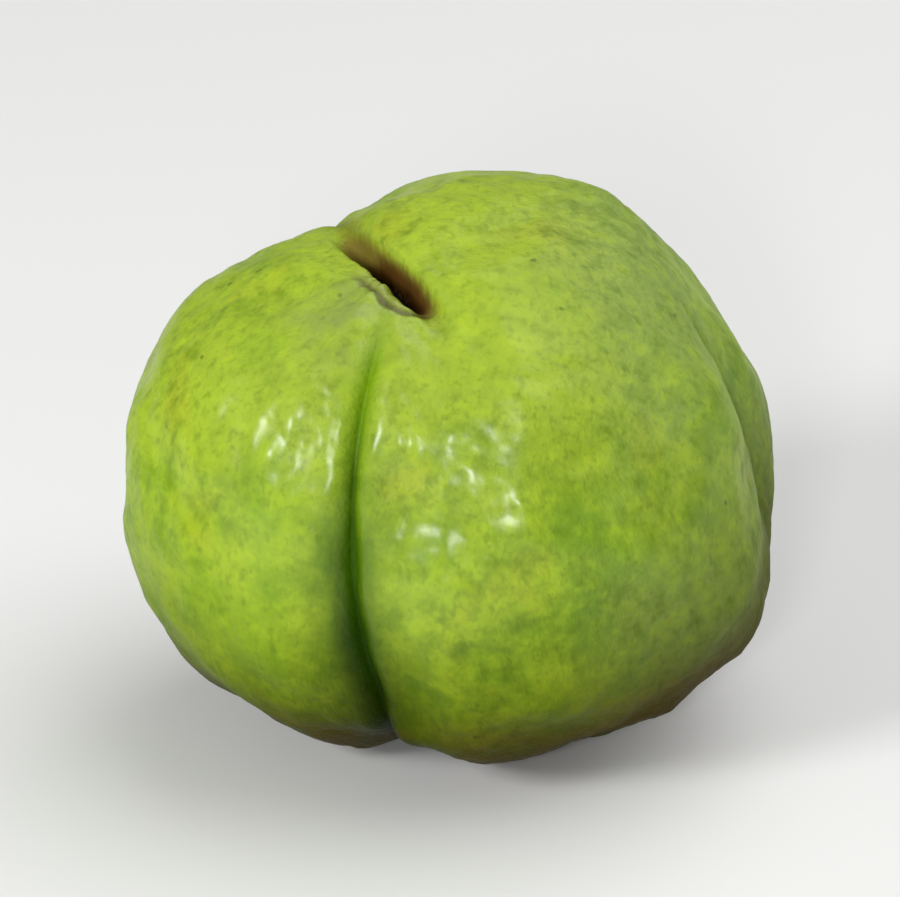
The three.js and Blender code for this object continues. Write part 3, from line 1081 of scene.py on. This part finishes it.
def slot_masks(skin):
    """Brown round the slot and on along the back furrow, in streaks, and its dark core."""
    streaks = noise(skin.place * (1.0, 1.0, 0.25), 900, detail=3.0, roughness=0.6) - 0.5
    far_end = step(close_to(skin.direction, FAR_END_TOWARDS), 0.955, 0.99)
    edge = step(skin.slot + skin.crease * far_end * 0.6 + streaks * 0.3, 0.02, 0.42)
    core = step(skin.slot - far_end * 0.35 + streaks * 0.3, 0.06, 0.55)
    return edge, core


def browned_with_fold_shadow(base, skin):
    base = mix(skin.slot_edge * 0.85, base, SLOT_EDGE)
    base = mix(skin.slot_core, base, SLOT_CORE)
    around_lip = step(close_to(skin.direction, LIP_TOWARDS), 0.972, 0.996) * (1.0 - skin.slot_edge)
    base = mix(around_lip * step(skin.patches, 0.35, 0.65) * 0.5, base, LIP_GREY_GREEN)
    base = mix(skin.lip * 0.35, base, LIP_TAN)
    # Painted shadow: dark brown in the fold beside the lips
    return mix(skin.fold * 0.9, base, FOLD_SHADOW_BROWN)


# %% Base with painted shade, pocket and sepals
UNCHANGED, BASE_SHADE = (1.0, 1.0, 1.0, 1.0), (0.20, 0.14, 0.05, 1.0)
BROWN_PATCH_AND_REFLECTION, POCKET_BROWN, SEPAL_OLIVE = colour(134, 96, 30), colour(84, 66, 34), colour(112, 104, 48)


def shaded_below(base, skin):
    """Painted shade, darker and browner towards the base, over brown patches laid on first that are partly
    the skin's own and partly a painted reflection of a brown surface below.
    """
    # Painted shade: darker and browner towards the base
    shade_below = mix(step(skin.up, 0.5, -0.5), UNCHANGED, BASE_SHADE)
    # Brown patches below the girth: partly the skin's own, partly a painted reflection of a brown surface
    # below
    brown_and_reflection = step(skin.clouds + (skin.patches - 0.5) * 0.5, 0.42, 0.62) * step(skin.up, 0.0, -0.6)
    return mix(brown_and_reflection * 0.6, base, BROWN_PATCH_AND_REFLECTION) * shade_below


def withered(base, skin):
    """Dry brown pocket and the leathery sepals round it."""
    base = mix(skin.blossom * 0.7, base, POCKET_BROWN)
    return mix(step(skin.sepal, 0.3, 0.9) * 0.7, base, SEPAL_OLIVE)


# %% [markdown]
# ## Gloss and the finest relief
#
# The wax gives two kinds of gloss: a soft one from the skin itself and a sharper one
# from its clear coat. The coat is brightest on the front shoulders, rubbed thin in
# patches, and missing under the painted grey sheen, in the slot and towards the base. A
# little light also travels through the flesh. The highlights would be two smooth patches
# if the surface were smooth, so wrinkles, grain and pores too small for the mesh are a bump.

# %% Gloss
POLISHED_TOWARDS = towards_degrees(42, 260)
WAX_AND_FLESH = {
    "Coat Roughness": 0.26,
    "Coat IOR": 1.5,
    "Specular IOR Level": 0.05,
    "IOR": 1.42,
    "Subsurface Weight": 0.1,
    "Subsurface Radius": (0.5, 0.8, 0.15),
    "Subsurface Scale": 3.0 * MM,
}


def skin_roughness(skin, worn):
    return step(worn, 0.3, 0.75) * 0.16 + 0.36 + skin.bloom * 0.16 + skin.slot_edge * 0.25


def skin_coat(skin, worn):
    """How much clear coat there is: full on the front shoulders, least where worn."""
    rubbed = step(worn, 0.7, 0.4) * 0.35 + 0.65
    polished = step(close_to(skin.direction, POLISHED_TOWARDS), 0.70, 0.96) * 0.7 + 0.3
    coated = (1.0 - skin.bloom * 0.8) * (1.0 - skin.slot_edge)
    coated = coated * (1.0 - skin.crease * 0.7) * (1.0 - skin.line * 0.8)
    coated = coated * step(skin.up, -0.2, 0.4) * polished
    return rubbed * coated


# %% Finest relief
BUMP_STRENGTH = 0.8


def skin_bump(skin):
    """Wrinkles, grain and pores, with their heights in millimetres."""
    wrinkles = noise(skin.place, 480, detail=3.0, roughness=0.6, warp=0.4)
    upright = noise(skin.direction * (1.0, 1.0, 0.4), 42, detail=2.0, roughness=0.5, warp=0.3)
    crinkles = noise(skin.direction * (1.0, 1.0, 0.5), 90, detail=1.0)
    grain = noise(skin.place, 1500, detail=2.0)
    height = wrinkles * 0.24 + upright * 0.26 + crinkles * 0.16 + grain * 0.03 - skin.pores * 0.05
    inputs = {"Height": height, "Distance": MM, "Strength": BUMP_STRENGTH}
    return node(skin.place.tree, "ShaderNodeBump", {}, inputs)


# %% Paint the skin
def paint_skin(material):
    tree, place, shader = start_material(material)
    skin = read_skin(tree, place)
    skin.bloom, skin.pores = bloom_mask(skin), pore_mask(skin)
    skin.slot_edge, skin.slot_core = slot_masks(skin)
    base = mottled(skin)
    for lay_on in (bloomed, flecked, marked, shaded_in_furrows, browned_with_fold_shadow, shaded_below, withered):
        base = lay_on(base, skin)
    connect(base, shader, "Base Color")
    worn = noise(place, 60, detail=3.0, roughness=0.6)
    connect(skin_roughness(skin, worn), shader, "Roughness")
    connect(skin_coat(skin, worn), shader, "Coat Weight")
    connect(skin_bump(skin), shader, "Normal")
    for name, value in WAX_AND_FLESH.items():
        shader.inputs[name].default_value = value


paint_skin(skin_material)
print("skin material:", len(skin_material.node_tree.nodes), "nodes")

# %% [markdown]
# ## Dry stalk and husk
#
# Both are dead, matt and brown, but the stalk is woody and almost black in its cracks,
# while the husk is papery and lighter. Two materials made by hand would repeat each
# other, so one function paints both from two colours and a grain size.

# %% Dry materials
DRY_SPECULAR, DRY_BUMP = 0.25, 0.3 * MM


def paint_dry(material, dark, light, grain_scale):
    tree, place, shader = start_material(material)
    grain = noise(place, grain_scale, detail=4.0, roughness=0.65)
    patches = noise(place, grain_scale / 5, detail=2.0)
    base = mix(step(grain, 0.35, 0.65), dark, light)
    base = mix(step(patches, 0.5, 0.7) * 0.5, base, dark)
    connect(base, shader, "Base Color")
    connect(grain * 0.2 + 0.72, shader, "Roughness")
    shader.inputs["Specular IOR Level"].default_value = DRY_SPECULAR
    inputs = {"Height": grain, "Distance": DRY_BUMP, "Strength": BUMP_STRENGTH}
    connect(node(tree, "ShaderNodeBump", {}, inputs), shader, "Normal")


paint_dry(stalk_material, colour(38, 26, 12), colour(104, 78, 40), 1400)
paint_dry(husk_material, colour(66, 48, 26), colour(140, 112, 66), 1800)
print("dry materials:", stalk_material.name, "and", husk_material.name)

# %% [markdown]
# ## Floor and light
#
# A pale floor and soft light all round suit the waxy skin. A light from the upper left
# front gives it form, a large soft one overhead, behind and to the right, brightens the
# shoulders, and a small one beside the camera puts short glints on the wrinkles. Small
# lights make sharper glints than large ones, which is why that one is the smallest.

# %% Floor
FLOOR_HALF = 3.0


def plain_colour(name, value, roughness):
    material = bpy.data.materials.new(name)
    material.use_nodes = True
    shader = material.node_tree.nodes["Principled BSDF"]
    shader.inputs["Base Color"].default_value = value
    shader.inputs["Roughness"].default_value = roughness
    return material


corners = np.array([(-1, -1, 0), (1, -1, 0), (1, 1, 0), (-1, 1, 0)]) * FLOOR_HALF
floor = new_piece("floor", corners, np.array([(0, 1, 2, 3)]), {})
floor.data.materials.append(plain_colour("pale floor", (0.8, 0.8, 0.79, 1), 0.8))
print("floor:", 2 * FLOOR_HALF, "m wide")

# %% Lights
ROOM_BRIGHTNESS = 0.25
MIDDLE = Vector((0, 0, 0.0405))

# Place and width of the square lamp in metres, and its power in watts
LAMPS = {
    "window from the left": ((-0.76, -0.60, 0.54), 0.28, 7.0),
    "overhead": ((0.7, 0.35, 1.15), 2.0, 19),
    "beside the camera": ((-0.10, -0.99, 0.47), 0.13, 3.4),
}


def look_at(piece, target):
    piece.rotation_euler = (Vector(target) - piece.location).to_track_quat("-Z", "Y").to_euler()


world = bpy.data.worlds.new("pale room")
world.use_nodes = True
world.node_tree.nodes["Background"].inputs["Color"].default_value = (1, 1, 1, 1)
world.node_tree.nodes["Background"].inputs["Strength"].default_value = ROOM_BRIGHTNESS
bpy.context.scene.world = world

for name, (place, size, watts) in LAMPS.items():
    lamp = bpy.data.lights.new(name, "AREA")
    lamp.size, lamp.energy = size, watts
    holder = bpy.data.objects.new(name, lamp)
    holder.location = place
    look_at(holder, MIDDLE)
    bpy.context.scene.collection.objects.link(holder)
print("lamps:", ", ".join(LAMPS))

# %% [markdown]
# ## Camera
#
# The camera looks down on the fruit as the photograph does. Its lens is worked out from
# how many pixels a metre should cover at the fruit, so the fruit fills the frame the
# same way from any distance, and the distance alone sets the perspective.

# %% Camera
IMAGE_WIDTH, IMAGE_HEIGHT = 900, 897
ELEVATION = math.radians(25.5)
DISTANCE = 0.95
FRUIT_AT = (450, 452)
PIXELS_PER_METRE = 7000
SENSOR = 36.0

lens = bpy.data.cameras.new("camera")
camera = bpy.data.objects.new("camera", lens)
bpy.context.scene.collection.objects.link(camera)
right = Vector((1, 0, 0))
upwards = Vector((0, math.sin(ELEVATION), math.cos(ELEVATION)))
camera.location = MIDDLE + DISTANCE * Vector((0, -math.cos(ELEVATION), math.sin(ELEVATION)))
beside = (FRUIT_AT[0] - IMAGE_WIDTH / 2) / PIXELS_PER_METRE
below = (FRUIT_AT[1] - IMAGE_HEIGHT / 2) / PIXELS_PER_METRE
look_at(camera, MIDDLE - beside * right + below * upwards)
lens.sensor_width = SENSOR
lens.lens = PIXELS_PER_METRE * DISTANCE * SENSOR / IMAGE_WIDTH
bpy.context.scene.camera = camera
bpy.context.scene.view_settings.view_transform = "Standard"
print("lens, mm:", lens.lens)

# %% [markdown]
# ## Tying the pieces to the solid model
#
# Each piece is tied to the body that carries it, and the solid that it stands for is
# hidden.

# %% Hand over
for piece, solid, finish in [
    (fruit, "fruit", "guava_skin"),
    (scar, "stalk_remains", "dry_stalk"),
    (husk, "flower_remains", "dry_flower"),
]:
    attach(piece, "root")
    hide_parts(solid)
